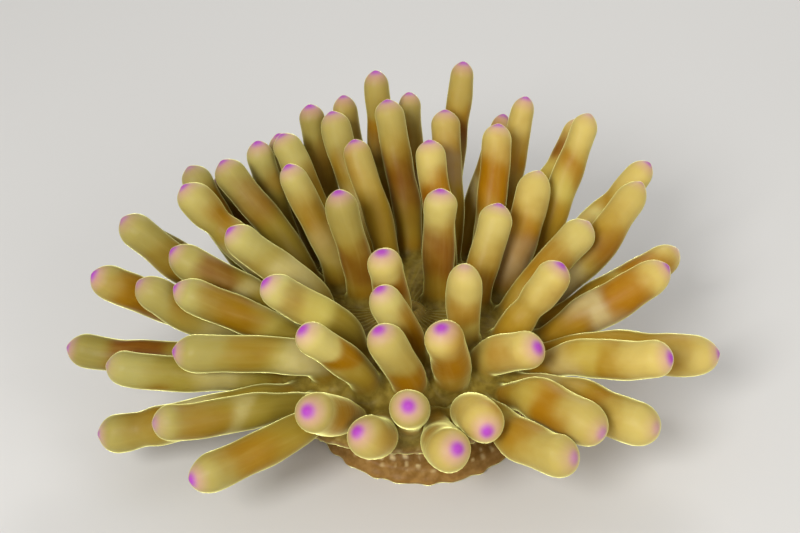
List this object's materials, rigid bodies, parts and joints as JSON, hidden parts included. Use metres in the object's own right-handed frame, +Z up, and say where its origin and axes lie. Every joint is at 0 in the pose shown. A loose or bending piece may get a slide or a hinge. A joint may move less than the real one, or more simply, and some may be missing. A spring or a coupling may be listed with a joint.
{
  "type": "sea anemone",
  "caption": "Still, life-size sea anemone with a dense crown of thick golden, violet-tipped tentacles on a short flared column and a flat foot.",
  "frame": {"origin": "middle of the pedal disc's underside, on the floor", "axes": "+Z up, out of the mouth; the most upright camera side faces -Y, and the crown spreads widest along X"},
  "size_m": [0.1646, 0.1238, 0.0717],
  "materials": {
    "tentacle_skin": "moist, smooth, slightly translucent golden skin with violet tips and pale blotches",
    "disc_skin": "moist olive-brown skin with pale rays",
    "column_skin": "moist orange-brown skin with rows of small pale warts"
  },
  "bodies": {
    "root": {"column": "column_skin", "mouth": "disc_skin", "oral_disc": "disc_skin", "pedal_disc": "column_skin", "tentacle_inner_01": "tentacle_skin", "tentacle_inner_02": "tentacle_skin", "tentacle_inner_03": "tentacle_skin", "tentacle_outer_01": "tentacle_skin", "tentacle_outer_02": "tentacle_skin", "tentacle_outer_05": "tentacle_skin", "tentacle_outer_06": "tentacle_skin", "tentacle_outer_07": "tentacle_skin", "tentacle_outer_10": "tentacle_skin", "tentacle_outer_11": "tentacle_skin", "tentacle_outer_12": "tentacle_skin", "tentacle_outer_15": "tentacle_skin", "tentacle_outer_16": "tentacle_skin", "tentacle_outer_17": "tentacle_skin", "tentacle_outer_18": "tentacle_skin", "tentacle_outer_21": "tentacle_skin", "tentacle_outer_22": "tentacle_skin", "tentacle_outer_23": "tentacle_skin", "tentacle_outer_26": "tentacle_skin", "tentacle_outer_27": "tentacle_skin", "tentacle_outer_28": "tentacle_skin", "tentacle_outer_31": "tentacle_skin", "tentacle_outer_32": "tentacle_skin", "tentacle_outer_33": "tentacle_skin", "tentacle_outer_36": "tentacle_skin", "tentacle_second_01": "tentacle_skin", "tentacle_second_02": "tentacle_skin", "tentacle_second_03": "tentacle_skin", "tentacle_second_04": "tentacle_skin", "tentacle_second_05": "tentacle_skin", "tentacle_second_06": "tentacle_skin", "tentacle_second_07": "tentacle_skin", "tentacle_second_08": "tentacle_skin", "tentacle_third_01": "tentacle_skin", "tentacle_third_02": "tentacle_skin", "tentacle_third_03": "tentacle_skin", "tentacle_third_04": "tentacle_skin", "tentacle_third_05": "tentacle_skin", "tentacle_third_06": "tentacle_skin", "tentacle_third_07": "tentacle_skin", "tentacle_third_08": "tentacle_skin", "tentacle_third_11": "tentacle_skin", "tentacle_third_12": "tentacle_skin", "tentacle_third_13": "tentacle_skin", "tentacle_third_14": "tentacle_skin", "tentacle_third_15": "tentacle_skin", "tentacle_third_16": "tentacle_skin", "tentacle_third_17": "tentacle_skin", "tentacles_outer_03_and_04": "tentacle_skin", "tentacles_outer_08_and_09": "tentacle_skin", "tentacles_outer_13_and_14": "tentacle_skin", "tentacles_outer_19_and_20": "tentacle_skin", "tentacles_outer_24_and_25": "tentacle_skin", "tentacles_outer_29_and_30": "tentacle_skin", "tentacles_outer_34_and_35": "tentacle_skin", "tentacles_third_09_and_10": "tentacle_skin"}
  },
  "joints": []
}
